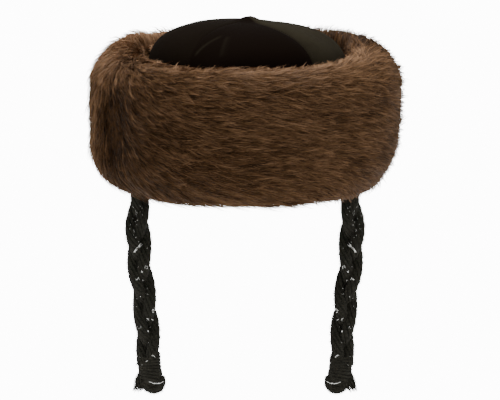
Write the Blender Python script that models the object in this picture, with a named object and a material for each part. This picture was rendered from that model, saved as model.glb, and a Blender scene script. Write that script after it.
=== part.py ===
"""Shtreimel: a velvet crown in a deep fur band, with a plaited lock hanging at each side.

Metres, +Z up, the front faces -Y. The origin is the middle of the head opening, level with the rim.
"""
import math

import bmesh
import bpy
import numpy as np
from mathutils import Vector

# Head opening and crown
OPENING_HALF_WIDTH = 0.084
OPENING_HALF_DEPTH = 0.096
CROWN_WALL = 0.002
CROWN_RISE = 0.0215
DOME_HEIGHT = 0.0445
DOME_FULLNESS = 2.7
DOME_RINGS = 9
GORE_COLUMNS = 11
SEAM_DEPTH = 0.0022
SEAM_HALF_ANGLE = 2.4
SEAM_SPREAD_ANGLE = 5.3
SEAM_START_SHARE = 0.08
FOLD_DEPTH = 0.003
FOLD_SPREAD_SHARE = 0.28
PUCKER_HEIGHT = 0.0018
PUCKER_RADIUS = 0.012

# Fur band
BAND_THICKNESS = 0.045
BAND_HEIGHT = 0.119
BAND_COLUMNS = 44
CORNER_POINTS = 5
LOCK_LENGTH = 0.063
LOCK_WIDTH = 0.027
LOCK_RISE = 0.0042
LOCK_ROOT_DEPTH = 0.0035
LOCK_SPACING = 0.053
LAYERS = 3
LOCK_LOWEST_SHARE = 0.83
LOCK_SWAY_SHARE = 0.012
LOCK_RISE_VARIETY_SHARE = 0.25
COMB_FALL_AT = 190.0
COMB_FALL_SPREAD = 26.0
COMB_FALL_ANGLE = 72.0
COMB_WAVE_ANGLE = 5.0
COMB_WAVES = 3

# Plaits
PLAIT_LENGTH = 0.187
WEAVE_REACH = 0.0063
WEAVE_DEPTH = 0.0058
PLAIT_PITCH = 0.115
PLAIT_FIRST_LOBE = 0.0735
PLAIT_OUTSET = 0.0043
STRAND_POINTS = 25
TABLE_BLUR_SHARE = 0.06
SEWN_LENGTH = 0.006
PLAIT_END_LENGTH = 0.027
END_COIL_RADIUS = 0.0049
END_TUFT_RADIUS = 0.0042
END_SIDES = 8

FIT_GAP = 0.0003

# Corners of the band's section, seen with the head opening on the left
BAND_CORNERS = (
    # round as a share of BAND_THICKNESS, on the outside, at the top, first angle, last angle
    (0.31, False, True, 180, 90),
    (0.66, True, True, 90, 0),
    (0.82, True, False, 0, -90),
    (0.09, False, False, -90, -180),
)

# Seams of the crown: direction from above, and how deep each lies, as a share of SEAM_DEPTH
SEAMS = (
    # degrees, depth
    (48.0, 0.9),
    (132.0, 0.9),
    (237.0, 0.75),
    (311.0, 1.0),
)

# Soft folds pushed into the dome, each centred at a share of the way up it
FOLDS = (
    # degrees, half width in degrees, share of the way up, depth as a share of FOLD_DEPTH
    (250.0, 9.0, 0.30, 1.0),
    (268.0, 7.0, 0.22, -0.5),
    (345.0, 14.0, 0.45, 0.8),
    (170.0, 15.0, 0.40, 0.7),
)

# Rows of fur locks down the band, from the inner top edge to the foot
LOCK_ROWS = (
    # share of the way down the section, width, rise
    (0.115, 0.80, 0.80),
    (0.260, 0.95, 1.00),
    (0.400, 1.00, 1.00),
    (0.535, 1.00, 0.95),
    (0.670, 1.00, 1.00),
    (0.790, 0.92, 0.95),
)

# One lock, from root to tip
LOCK_STATIONS = (
    # share of length, half width as a share of LOCK_WIDTH, rise as a share of LOCK_RISE
    (0.00, 0.16, 0.10),
    (0.28, 0.47, 0.80),
    (0.64, 0.40, 1.00),
    (1.00, 0.07, 0.75),
)

# Crest of a lock, to each side of its middle line
LOCK_CREST = (
    # share of the half width, share of the rise
    (0.25, 1.00),
    (-0.35, 0.70),
)

# How the plait leans as it hangs: share of its length, and shift towards the middle in weave reaches
PLAIT_LEAN = (
    (0.00, 0.00),
    (0.22, -0.30),
    (0.38, -0.12),
    (0.57, 0.66),
    (0.78, 1.00),
    (1.00, 1.50),
)

# How full the plait is, down its length
PLAIT_FULLNESS = (
    (0.00, 0.62),
    (0.07, 0.66),
    (0.19, 1.00),
    (0.80, 1.00),
    (0.88, 0.80),
)

# The plait's end, seen from the front, where the strands are knotted and turned under
END_HEAD = (1.60, 1.30, 0.30)
END_HEAD_AT_SHARE = 0.25
END_COIL = (
    # shift towards the middle in weave reaches, share of the end's length
    (-0.70, 0.50),
    (-0.10, 0.70),
    (0.55, 0.78),
    (1.20, 0.75),
    (1.60, 0.58),
    (1.55, 0.36),
)
END_TUFT = (
    # shift towards the middle in weave reaches, share of the end's length, share of END_TUFT_RADIUS
    (-0.75, 0.25, 0.85),
    (-1.20, 0.40, 1.00),
    (-1.50, 0.62, 0.95),
    (-1.45, 0.84, 0.55),
)


def clear_scene():
    for thing in list(bpy.data.objects):
        bpy.data.objects.remove(thing, do_unlink=True)


def make_material(name, color, roughness):
    material = bpy.data.materials.new(name)
    material.use_nodes = True
    shader = material.node_tree.nodes["Principled BSDF"]
    shader.inputs["Base Color"].default_value = (*color, 1.0)
    shader.inputs["Roughness"].default_value = roughness
    shader.inputs["Metallic"].default_value = 0.0
    return material


def add_object(name, mesh_or_curve, collection, material):
    thing = bpy.data.objects.new(name, mesh_or_curve)
    collection.objects.link(thing)
    mesh_or_curve.materials.append(material)
    return thing


def mesh_from_bmesh(name, form):
    mesh = bpy.data.meshes.new(name)
    form.to_mesh(mesh)
    form.free()
    return mesh


def opening_point(degrees, out):
    """A point of the oval that lies out metres outside the head opening, in the direction given."""
    turn = math.radians(degrees)
    on = Vector((OPENING_HALF_WIDTH * math.cos(turn), OPENING_HALF_DEPTH * math.sin(turn)))
    normal = Vector((math.cos(turn) / OPENING_HALF_WIDTH, math.sin(turn) / OPENING_HALF_DEPTH)).normalized()
    return on + normal * out


def bridge_rings(form, rings):
    """Joins each closed ring of vertices to the next."""
    for lower, upper in zip(rings, rings[1:]):
        for k in range(len(lower)):
            after = (k + 1) % len(lower)
            form.faces.new((lower[k], lower[after], upper[after], upper[k]))


def fuse_onto(body, name, form, cutters, material):
    """Makes form an object of its own, and joins it to body with a Boolean union."""
    piece = add_object(name, mesh_from_bmesh(name, form), cutters, material)
    piece.hide_render = True
    piece.display_type = "WIRE"
    fuse = body.modifiers.new(name, "BOOLEAN")
    fuse.operation = "UNION"
    fuse.solver = "EXACT"
    fuse.object = piece


# Crown


def gore_angles():
    """Directions of the crown's columns of faces, each gore evenly divided between its two seams."""
    angles = []
    for (seam, _), (following, _) in zip(SEAMS, SEAMS[1:] + ((SEAMS[0][0] + 360.0, 0.0),)):
        angles += [seam, seam + SEAM_HALF_ANGLE]
        inner = np.linspace(seam + SEAM_HALF_ANGLE, following - SEAM_HALF_ANGLE, GORE_COLUMNS - 1)
        angles += inner[1:].tolist()
    return angles


def turn_between(degrees, other):
    """The signed angle from other to degrees, between -180 and 180."""
    return (degrees - other + 180.0) % 360.0 - 180.0


def seam_dent(degrees, share):
    """Depth of the seams and folds at a direction and a share of the way from dome foot to top."""
    fade = math.sqrt(math.sin(math.pi * (SEAM_START_SHARE + (1.0 - SEAM_START_SHARE) * share)))
    depth = 0.0
    for seam, strength in SEAMS:
        away = turn_between(degrees, seam) / SEAM_SPREAD_ANGLE
        depth += SEAM_DEPTH * strength * fade * math.exp(-(away**2))
    for fold, half_width, height, strength in FOLDS:
        away = turn_between(degrees, fold) / half_width
        above = (share - height) / FOLD_SPREAD_SHARE
        depth += FOLD_DEPTH * strength * math.exp(-(away**2) - above**2)
    return depth


def crown_sheet(form, inset):
    """Rings of vertices of the cap from its rim up, and its top, inset metres inside the outer surface."""
    angles = gore_angles()
    dome_foot = BAND_HEIGHT + CROWN_RISE - DOME_HEIGHT
    rings = []
    for height in (0.0, dome_foot / 2, dome_foot):
        ring = [form.verts.new((*opening_point(a, CROWN_WALL - inset), height)) for a in angles]
        rings.append(ring)
    for step in range(1, DOME_RINGS):
        share = step / DOME_RINGS
        rise = share * math.pi / 2
        reach = math.cos(rise) ** (2 / DOME_FULLNESS)
        height = dome_foot + (DOME_HEIGHT - inset) * math.sin(rise) ** (2 / DOME_FULLNESS)
        ring = []
        for a in angles:
            edge = opening_point(a, CROWN_WALL - inset)
            dent = seam_dent(a, share)
            out = edge * reach
            pull = 1.0 - dent * math.cos(rise) / edge.length
            near_top = math.exp(-((out.length / PUCKER_RADIUS) ** 2))
            up = height - dent * math.sin(rise) + PUCKER_HEIGHT * near_top
            ring.append(form.verts.new((*(out * pull), up)))
        rings.append(ring)
    top = form.verts.new((0.0, 0.0, dome_foot + DOME_HEIGHT - inset + PUCKER_HEIGHT))
    return rings, top


def make_crown(collection, material):
    form = bmesh.new()
    outer, outer_top = crown_sheet(form, 0.0)
    inner, inner_top = crown_sheet(form, CROWN_WALL)
    bridge_rings(form, outer)
    bridge_rings(form, inner[::-1])
    bridge_rings(form, [inner[0], outer[0]])
    for ring, top in ((outer[-1], outer_top), (inner[-1][::-1], inner_top)):
        for k in range(len(ring)):
            form.faces.new((ring[k], ring[(k + 1) % len(ring)], top))
    bmesh.ops.recalc_face_normals(form, faces=form.faces)
    return add_object("crown", mesh_from_bmesh("crown", form), collection, material)


# Fur band


def band_section():
    """Outline of the band's section from the inner top edge over the outside to the foot, closely spaced."""
    points = []
    for share, outside, top, first, last in BAND_CORNERS:
        radius = share * BAND_THICKNESS
        out = BAND_THICKNESS - radius if outside else radius
        up = BAND_HEIGHT - radius if top else radius
        for degrees in np.linspace(first, last, CORNER_POINTS):
            turn = math.radians(degrees)
            points.append((out + radius * math.cos(turn), up + radius * math.sin(turn)))
    return np.array(points)


SECTION = band_section()
SECTION_AT = np.concatenate([[0.0], np.cumsum(np.linalg.norm(np.diff(SECTION, axis=0), axis=1))])
SECTION_LENGTH = SECTION_AT[-1]
SECTION_SHARE = SECTION_AT / SECTION_LENGTH


def band_point(degrees, share):
    """A point of the band's fur side, a share of the way down its section."""
    out = float(np.interp(share, SECTION_SHARE, SECTION[:, 0]))
    up = float(np.interp(share, SECTION_SHARE, SECTION[:, 1]))
    return Vector((*opening_point(degrees, CROWN_WALL + FIT_GAP + out), up))


def band_frame(degrees, share):
    """Point, direction round the band, direction down the section and outward normal."""
    step = 0.01
    here = band_point(degrees, share)
    along = band_point(degrees + 1.0, share) - band_point(degrees - 1.0, share)
    down = band_point(degrees, share + step) - band_point(degrees, share - step)
    around, down = along.normalized(), down.normalized()
    return here, around, down, down.cross(around).normalized()


def comb_angle(degrees):
    """How far the fur is combed down from straight round the band. It falls at the left only."""
    away = turn_between(degrees, COMB_FALL_AT) / COMB_FALL_SPREAD
    wave = COMB_WAVE_ANGLE * math.sin(math.radians(COMB_WAVES * degrees))
    return math.radians(COMB_FALL_ANGLE * math.exp(-(away**2)) + wave)


def lock_hull(form, degrees, share, width, rise):
    """One tapered lock lying along the fur, as a closed convex wedge."""
    corners = []
    walked = 0.0
    for at, half_width, lift in LOCK_STATIONS:
        step = (at - walked) * LOCK_LENGTH
        walked = at
        turn = comb_angle(degrees)
        around_length = (band_point(degrees + 1.0, share) - band_point(degrees - 1.0, share)).length / 2.0
        degrees += step * math.cos(turn) / around_length
        share = min(LOCK_LOWEST_SHARE, share + step * math.sin(turn) / SECTION_LENGTH)
        here, around, down, normal = band_frame(degrees, share)
        side = down * math.cos(turn) - around * math.sin(turn)
        reach = half_width * width * LOCK_WIDTH
        for foot in (-reach, reach):
            corners.append(form.verts.new(here + side * foot - normal * LOCK_ROOT_DEPTH))
        for shift, height in LOCK_CREST:
            top = here + normal * height * lift * rise * LOCK_RISE
            corners.append(form.verts.new(top + side * reach * shift))
    hull = bmesh.ops.convex_hull(form, input=corners)
    spare = [v for v in hull["geom_interior"] + hull["geom_unused"] if isinstance(v, bmesh.types.BMVert)]
    bmesh.ops.delete(form, geom=list(set(spare)), context="VERTS")


def make_band(collection, cutters, material):
    form = bmesh.new()
    rings = []
    for out, up in SECTION:
        turns = np.arange(BAND_COLUMNS) * 360.0 / BAND_COLUMNS
        rings.append([form.verts.new((*opening_point(t, CROWN_WALL + FIT_GAP + out), up)) for t in turns])
    bridge_rings(form, rings + [rings[0]])
    bmesh.ops.recalc_face_normals(form, faces=form.faces)
    band = add_object("fur_band", mesh_from_bmesh("fur_band", form), collection, material)
    layers = {}
    for row, (share, width, rise) in enumerate(LOCK_ROWS):
        out = float(np.interp(share, SECTION_SHARE, SECTION[:, 0]))
        around = math.pi * (OPENING_HALF_WIDTH + OPENING_HALF_DEPTH + 2 * out)
        count = LAYERS * round(around / LOCK_SPACING / LAYERS)
        for k in range(count):
            layer = f"locks_{row % LAYERS}_{k % LAYERS}"
            if layer not in layers:
                layers[layer] = bmesh.new()
            degrees = 360.0 * (k + 0.5 * (row % 2)) / count
            sway = LOCK_SWAY_SHARE * math.sin(2 * k + row)
            height = rise * (1.0 + LOCK_RISE_VARIETY_SHARE * math.sin(5 * k + row))
            lock_hull(layers[layer], degrees, share + sway, width, height)
    for layer, locks in sorted(layers.items()):
        fuse_onto(band, layer, locks, cutters, material)
    return band


# Plaits


def smooth_read(table, at):
    """Reads a two-column table along a smooth curve, as the mean of straight runs nearby."""
    places, values = zip(*table)
    nearby = np.linspace(at - TABLE_BLUR_SHARE, at + TABLE_BLUR_SHARE, 5)
    return float(np.interp(nearby, places, values).mean())


def weave_offset(down, number):
    """Where a strand lies in the full plait, to the side and to the back of its middle."""
    turn = math.tau * ((down - PLAIT_FIRST_LOBE) / PLAIT_PITCH + number / 3.0) + math.pi / 2
    return WEAVE_REACH * math.sin(turn), WEAVE_DEPTH * math.sin(2.0 * turn)


def strand_radius():
    """Half of what the weave leaves between the middles of two strands, less the gap between them."""
    samples = np.linspace(0.0, PLAIT_PITCH, 90)
    first, second = ([(*weave_offset(down, n), down) for down in samples] for n in (0, 1))
    apart = np.linalg.norm(np.array(first)[:, None] - np.array(second)[None, :], axis=-1)
    return (float(apart.min()) - FIT_GAP) / 2.0


STRAND_RADIUS = strand_radius()


def plait_top(side):
    outer = opening_point(0.0, CROWN_WALL + FIT_GAP + PLAIT_OUTSET).x
    return Vector((side * outer, 0.0, -FIT_GAP))


def plait_centre(side, down):
    """The middle of the plait, a distance down from its top."""
    share = down / PLAIT_LENGTH
    lean = smooth_read(PLAIT_LEAN, share) * WEAVE_REACH
    return plait_top(side) + Vector((-side * lean, 0.0, -down))


def strand_line(side, number):
    """Points of one strand's weave, with how full it is at each."""
    reach = PLAIT_LENGTH - PLAIT_END_LENGTH
    points = []
    for down in np.linspace(0.0, reach, STRAND_POINTS):
        woven = min(max(float(down), SEWN_LENGTH), reach - SEWN_LENGTH)
        full = smooth_read(PLAIT_FULLNESS, woven / PLAIT_LENGTH)
        across, depth = weave_offset(woven, number)
        middle = plait_centre(side, woven)
        middle.z = plait_centre(side, float(down)).z
        points.append((middle + Vector((side * full * across, full * depth, 0.0)), full))
    return points


def make_strand(name, side, number, collection, material):
    curve = bpy.data.curves.new(name, "CURVE")
    curve.dimensions = "3D"
    curve.bevel_depth = STRAND_RADIUS
    curve.bevel_resolution = 2
    curve.use_fill_caps = True
    line = strand_line(side, number)
    spline = curve.splines.new("POLY")
    spline.points.add(len(line) - 1)
    for point, (place, full) in zip(spline.points, line):
        point.co = (*place, 1.0)
        point.radius = full
    return add_object(name, curve, collection, material)


def tube_rings(form, line):
    """A closed tube through (point, radius) pairs, in the plane that faces the front."""
    rings = []
    back = Vector((0.0, 1.0, 0.0))
    for k, (place, radius) in enumerate(line):
        before, after = line[max(0, k - 1)][0], line[min(len(line) - 1, k + 1)][0]
        side = (after - before).cross(back).normalized()
        turns = [math.tau * n / END_SIDES for n in range(END_SIDES)]
        spokes = [math.cos(t) * side + math.sin(t) * back for t in turns]
        rings.append([form.verts.new(place + radius * spoke) for spoke in spokes])
    bridge_rings(form, rings)
    form.faces.new(rings[0][::-1])
    form.faces.new(rings[-1])
    bmesh.ops.recalc_face_normals(form, faces=form.faces)


def end_point(side, across, share):
    """A place on the end: towards the middle in weave reaches, and a share of its length down."""
    down = PLAIT_LENGTH - PLAIT_END_LENGTH
    top = plait_centre(side, down)
    return top + Vector((-side * across * WEAVE_REACH, 0.0, -share * PLAIT_END_LENGTH))


def make_end(name, side, collection, cutters, material):
    form = bmesh.new()
    bmesh.ops.create_uvsphere(form, u_segments=12, v_segments=8, radius=1.0)
    size = [share * full for share, full in zip(END_HEAD, (WEAVE_REACH, WEAVE_DEPTH, PLAIT_END_LENGTH))]
    bmesh.ops.scale(form, vec=size, verts=form.verts)
    bmesh.ops.translate(form, vec=end_point(side, 0.0, END_HEAD_AT_SHARE), verts=form.verts)
    top = end_point(side, 0.0, 0.0) - Vector((0.0, 0.0, FIT_GAP))
    everything = list(form.verts) + list(form.edges) + list(form.faces)
    bmesh.ops.bisect_plane(form, geom=everything, plane_co=top, plane_no=(0, 0, 1), clear_outer=True)
    bmesh.ops.holes_fill(form, edges=form.edges)
    bmesh.ops.recalc_face_normals(form, faces=form.faces)
    end = add_object(name, mesh_from_bmesh(name, form), collection, material)
    coil = [(end_point(side, across, share), END_COIL_RADIUS) for across, share in END_COIL]
    tuft = [(end_point(side, across, share), full * END_TUFT_RADIUS) for across, share, full in END_TUFT]
    for label, line in (("coil", coil), ("tuft", tuft)):
        form = bmesh.new()
        tube_rings(form, line)
        fuse_onto(end, f"{name}_{label}", form, cutters, material)
    return end


def build():
    clear_scene()
    hat = bpy.data.collections.new("shtreimel")
    cutters = bpy.data.collections.new("fused_shapes")
    for collection in (hat, cutters):
        bpy.context.scene.collection.children.link(collection)
    velvet = make_material("black_velvet", (0.012, 0.010, 0.009), 0.9)
    fur = make_material("brown_fur", (0.060, 0.032, 0.016), 0.8)
    yarn = make_material("black_yarn", (0.014, 0.013, 0.011), 0.9)
    make_crown(hat, velvet)
    make_band(hat, cutters, fur)
    for word, side in (("left", -1.0), ("right", 1.0)):
        for number in range(3):
            make_strand(f"plait_{word}_strand_{number + 1}", side, number, hat, yarn)
        make_end(f"plait_{word}_end", side, hat, cutters, yarn)


build()
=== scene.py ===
"""A shtreimel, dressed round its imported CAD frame: velvet cap, deep fur band and two plaited side locks."""

import math

import bmesh
import bpy
import numpy as np
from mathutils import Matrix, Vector


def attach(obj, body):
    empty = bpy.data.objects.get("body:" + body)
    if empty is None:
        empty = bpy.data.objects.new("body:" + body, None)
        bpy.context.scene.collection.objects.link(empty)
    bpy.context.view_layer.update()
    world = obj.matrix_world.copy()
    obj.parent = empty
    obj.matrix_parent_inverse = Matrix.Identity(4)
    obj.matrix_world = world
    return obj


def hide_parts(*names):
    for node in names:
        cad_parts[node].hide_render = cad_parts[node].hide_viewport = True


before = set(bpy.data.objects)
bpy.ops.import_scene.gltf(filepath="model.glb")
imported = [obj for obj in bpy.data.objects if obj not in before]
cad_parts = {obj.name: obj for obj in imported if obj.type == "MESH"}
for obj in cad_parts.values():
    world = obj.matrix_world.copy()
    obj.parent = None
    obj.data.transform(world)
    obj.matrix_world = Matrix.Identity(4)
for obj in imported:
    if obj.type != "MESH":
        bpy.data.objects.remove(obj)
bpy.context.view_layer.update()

# Camera
# The hat is seen from the front and a little above, through a long lens, so its near and far sides
# look almost the same size.
CAMERA_AIM = Vector((0.0043, 0.0, -0.015))
CAMERA_DISTANCE = 1.8
CAMERA_RISE = math.radians(10.0)
camera_lens = bpy.data.cameras.new("camera")
camera_lens.sensor_fit = "HORIZONTAL"
camera_lens.sensor_width = 36.0
camera_lens.lens = 150.7
camera = bpy.data.objects.new("camera", camera_lens)
bpy.context.collection.objects.link(camera)
camera.location = CAMERA_AIM + CAMERA_DISTANCE * Vector((0, -math.cos(CAMERA_RISE), math.sin(CAMERA_RISE)))
camera.rotation_euler = (math.pi / 2 - CAMERA_RISE, 0, 0)
bpy.context.scene.camera = camera


# Cap
# Four gores of black cotton velvet are sewn into a dome that meets at a small pucker on top. Below the
# dome the velvet runs straight down inside the fur band to the rim, where its edge is turned under.
OPENING_HALF_WIDTH = 0.084
OPENING_HALF_DEPTH = 0.096
CAP_WALL = 0.002
CAP_TOP = 0.1388
DOME_HEIGHT = 0.0437
DOME_FOOT = CAP_TOP - DOME_HEIGHT
DOME_FULLNESS = 2.7
DOME_LEAN = 0.030
DOME_RINGS = 40
WALL_HEIGHTS = (0.0, 0.0006, 0.030, 0.060, 0.085)
GORE_COLUMNS = 56
COLUMN_CROWDING = 0.86
SPIN_RADIUS = 0.09
SEAM_DEPTH = 0.0022
SEAM_SPREAD_ANGLE = 5.3
SEAM_START_SHARE = 0.08
GROOVE_DEPTH = 0.0013
GROOVE_HALF_WIDTH = 0.0011
GORE_PUFF = 0.0009
FOLD_DEPTH = 0.003
FOLD_SPREAD_SHARE = 0.28
PUCKER_HEIGHT = 0.0047
PUCKER_RADIUS = 0.0096
PUCKER_SHIFT = 0.0036
PUCKER_GATHER = 0.0005
CREASE_DEPTH = 0.0007
CREASE_HALF_WIDTH = 0.0011
SEAMS = (
    # degrees round the cap, depth share, how light the gore that follows is painted, as painted sheen where it catches
    # the light
    (48.0, 0.9, 0.45),
    (156.0, 0.9, 0.10),
    (237.0, 0.35, 0.0),
    (313.0, 1.0, 1.0),
)
FOLDS = (
    # degrees, half width in degrees, share of the way up, depth share
    (250.0, 9.0, 0.30, 1.0),
    (268.0, 7.0, 0.22, -0.5),
    (345.0, 14.0, 0.45, 0.8),
    (170.0, 15.0, 0.40, 0.7),
    (188.0, 22.0, 0.12, 1.1),
)
CREASES = (
    # from x, y, to x, y
    (-0.0206, -0.0635, -0.0396, -0.0773),
    (-0.0138, -0.0670, -0.0180, -0.0873),
)


def oval(turn, out):
    """Where the head opening's oval runs, moved outwards by out metres."""
    across, along = np.cos(turn) / OPENING_HALF_WIDTH, np.sin(turn) / OPENING_HALF_DEPTH
    size = np.hypot(across, along)
    x = OPENING_HALF_WIDTH * np.cos(turn) + out * across / size
    return x, OPENING_HALF_DEPTH * np.sin(turn) + out * along / size


def spin_line(form, line, columns, closed=False):
    """Spins a line of (reach, height) pairs a full turn about the upright axis."""
    dots = [form.verts.new((reach, 0.0, height)) for reach, height in line]
    pairs = list(zip(dots, dots[1:])) + ([(dots[-1], dots[0])] if closed else [])
    edges = [form.edges.new(pair) for pair in pairs]
    bmesh.ops.spin(form, geom=dots + edges, cent=(0, 0, 0), axis=(0, 0, 1), angle=math.tau,
                   steps=columns, use_merge=True)
    bmesh.ops.remove_doubles(form, verts=form.verts, dist=1e-6)
    bmesh.ops.recalc_face_normals(form, faces=form.faces)


def places_of(form):
    return np.array([v.co for v in form.verts])


def put_places(form, places):
    for v, place in zip(form.verts, places):
        v.co = place


def piece_from_bmesh(name, form, material):
    """A smooth-shaded object from a bmesh, at the origin."""
    mesh = bpy.data.meshes.new(name)
    form.to_mesh(mesh)
    form.free()
    mesh.polygons.foreach_set("use_smooth", np.ones(len(mesh.polygons), bool))
    mesh.materials.append(material)
    piece = bpy.data.objects.new(name, mesh)
    bpy.context.collection.objects.link(piece)
    return piece


def angle_between(degrees, other):
    return (degrees - other + 180.0) % 360.0 - 180.0


def gore_turn(turn):
    """Gives each gore the same number of columns, crowded towards its seams. Also returns the share across."""
    quarter = np.floor(turn / math.tau * 4 + 1e-7).astype(int) % 4
    share = (turn / math.tau * 4 + 1e-7) % 1.0
    starts = np.array([seam[0] for seam in SEAMS])
    spans = np.diff(np.append(starts, starts[0] + 360.0))
    across = share - COLUMN_CROWDING * np.sin(math.tau * share) / math.tau
    return starts[quarter] + spans[quarter] * across, quarter, across


def cap_dent(degrees, share, across, reach_length):
    """How far the dome's surface lies inside its plain form: seams, folds, and less where a gore puffs out."""
    fade = np.sqrt(np.sin(math.pi * (SEAM_START_SHARE + (1.0 - SEAM_START_SHARE) * share)).clip(0.0))
    dent = -GORE_PUFF * np.sin(math.pi * across) * fade
    for seam, strength, _ in SEAMS:
        away = angle_between(degrees, seam)
        dent += SEAM_DEPTH * strength * fade * np.exp(-((away / SEAM_SPREAD_ANGLE) ** 2))
        metres = np.radians(away) * reach_length
        dent += GROOVE_DEPTH * strength * fade * np.exp(-((metres / GROOVE_HALF_WIDTH) ** 2))
    for fold, half_width, height, strength in FOLDS:
        away = angle_between(degrees, fold) / half_width
        above = (share - height) / FOLD_SPREAD_SHARE
        dent += FOLD_DEPTH * strength * np.exp(-(away**2) - above**2)
    return dent


def crease_mask(x, y):
    """1 along the short creases pressed into the front of the velvet, fading out to 0."""
    mask = np.zeros_like(x)
    for x0, y0, x1, y1 in CREASES:
        length = math.hypot(x1 - x0, y1 - y0)
        along = ((x - x0) * (x1 - x0) + (y - y0) * (y1 - y0)) / length**2
        nearest = along.clip(0.0, 1.0)
        gap = np.hypot(x - x0 - nearest * (x1 - x0), y - y0 - nearest * (y1 - y0))
        mask = np.maximum(mask, np.exp(-((gap / CREASE_HALF_WIDTH) ** 2)))
    return mask


def lint_group():
    """A node group that scatters small pale specks of lint."""
    group = bpy.data.node_groups.new("lint_specks", "ShaderNodeTree")
    group.interface.new_socket("Place", in_out="INPUT", socket_type="NodeSocketVector")
    for name, value in (("Scale", 300.0), ("Share", 0.02)):
        socket = group.interface.new_socket(name, in_out="INPUT", socket_type="NodeSocketFloat")
        socket.default_value = value
    group.interface.new_socket("Mask", in_out="OUTPUT", socket_type="NodeSocketFloat")
    nodes, links = group.nodes, group.links
    inner, outer = nodes.new("NodeGroupInput"), nodes.new("NodeGroupOutput")
    warp = nodes.new("ShaderNodeTexNoise")
    warp.inputs["Detail"].default_value = 3.0
    step = nodes.new("ShaderNodeMapRange")
    limit = nodes.new("ShaderNodeMath")
    limit.operation = "SUBTRACT"
    limit.inputs[0].default_value = 0.80
    links.new(inner.outputs["Place"], warp.inputs["Vector"])
    links.new(inner.outputs["Scale"], warp.inputs["Scale"])
    links.new(inner.outputs["Share"], limit.inputs[1])
    links.new(warp.outputs["Fac"], step.inputs["Value"])
    links.new(limit.outputs[0], step.inputs["From Min"])
    step.inputs["From Max"].default_value = 0.84
    links.new(step.outputs["Result"], outer.inputs["Mask"])
    return group


lint_and_glints = lint_group()


def set_finish(shader, roughness, specular, sheen=0.0, sheen_roughness=0.5, sheen_tint=(1.0, 1.0, 1.0)):
    shader.inputs["Roughness"].default_value = roughness
    shader.inputs["Specular IOR Level"].default_value = specular
    shader.inputs["Sheen Weight"].default_value = sheen
    shader.inputs["Sheen Roughness"].default_value = sheen_roughness
    shader.inputs["Sheen Tint"].default_value = (*sheen_tint, 1.0)


def mix_colours(nodes, links, factor, first, second):
    """A Mix node between two colours. Each is a colour or a socket."""
    mix = nodes.new("ShaderNodeMix")
    mix.data_type = "RGBA"
    links.new(factor, mix.inputs["Factor"])
    for socket, value in (("A", first), ("B", second)):
        target = [s for s in mix.inputs if s.name == socket and s.type == "RGBA"][0]
        if isinstance(value, tuple):
            target.default_value = (*value, 1.0)
        else:
            links.new(value, target)
    return [s for s in mix.outputs if s.type == "RGBA"][0]


def map_range(nodes, links, value, low, high, to_low=0.0, to_high=1.0):
    node = nodes.new("ShaderNodeMapRange")
    links.new(value, node.inputs["Value"])
    for name, number in (("From Min", low), ("From Max", high), ("To Min", to_low), ("To Max", to_high)):
        node.inputs[name].default_value = number
    return node.outputs["Result"]


def object_noise(nodes, links, scale, detail=3.0, roughness=0.5):
    """Noise on Object coordinates. Returns its height and the coordinates."""
    place = nodes.new("ShaderNodeTexCoord").outputs["Object"]
    noise = nodes.new("ShaderNodeTexNoise")
    noise.inputs["Scale"].default_value = scale
    noise.inputs["Detail"].default_value = detail
    noise.inputs["Roughness"].default_value = roughness
    links.new(place, noise.inputs["Vector"])
    return noise.outputs["Fac"], place


def bumped(nodes, links, shader, height, strength, distance):
    bump = nodes.new("ShaderNodeBump")
    bump.inputs["Strength"].default_value = strength
    bump.inputs["Distance"].default_value = distance
    links.new(height, bump.inputs["Height"])
    links.new(bump.outputs["Normal"], shader.inputs["Normal"])


def velvet_material():
    material = bpy.data.materials.new("black_velvet")
    material.use_nodes = True
    nodes, links = material.node_tree.nodes, material.node_tree.links
    shader = nodes["Principled BSDF"]
    set_finish(shader, 0.85, 0.010, sheen=0.0025, sheen_roughness=0.35, sheen_tint=(1.0, 0.85, 0.65))
    # Painted sheen: the light pile colour lights the gores that catch the lamp, with painted highlights along the
    # creases
    painted_gore_light = nodes.new("ShaderNodeAttribute")
    painted_gore_light.attribute_name = "painted_gore_light"
    cloudy, place = object_noise(nodes, links, 26.0, 4.0, 0.6)
    cloud = map_range(nodes, links, cloudy, 0.30, 0.72, 0.72, 1.25)
    lightness = nodes.new("ShaderNodeMath")
    lightness.operation = "MULTIPLY"
    links.new(painted_gore_light.outputs["Fac"], lightness.inputs[0])
    links.new(cloud, lightness.inputs[1])
    pile = mix_colours(nodes, links, lightness.outputs[0], (0.0024, 0.0012, 0.0006), (0.0118, 0.0099, 0.0060))
    specks = nodes.new("ShaderNodeGroup")
    specks.node_tree = lint_and_glints
    links.new(place, specks.inputs["Place"])
    specks.inputs["Scale"].default_value = 420.0
    specks.inputs["Share"].default_value = 0.03
    faint = map_range(nodes, links, specks.outputs["Mask"], 0.0, 1.0, 0.0, 0.35)
    colour = mix_colours(nodes, links, faint, pile, (0.05, 0.043, 0.036))
    links.new(colour, shader.inputs["Base Color"])
    tufts, _ = object_noise(nodes, links, 1500.0, 2.0)
    bumped(nodes, links, shader, tufts, 0.25, 0.0003)
    return material


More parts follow.
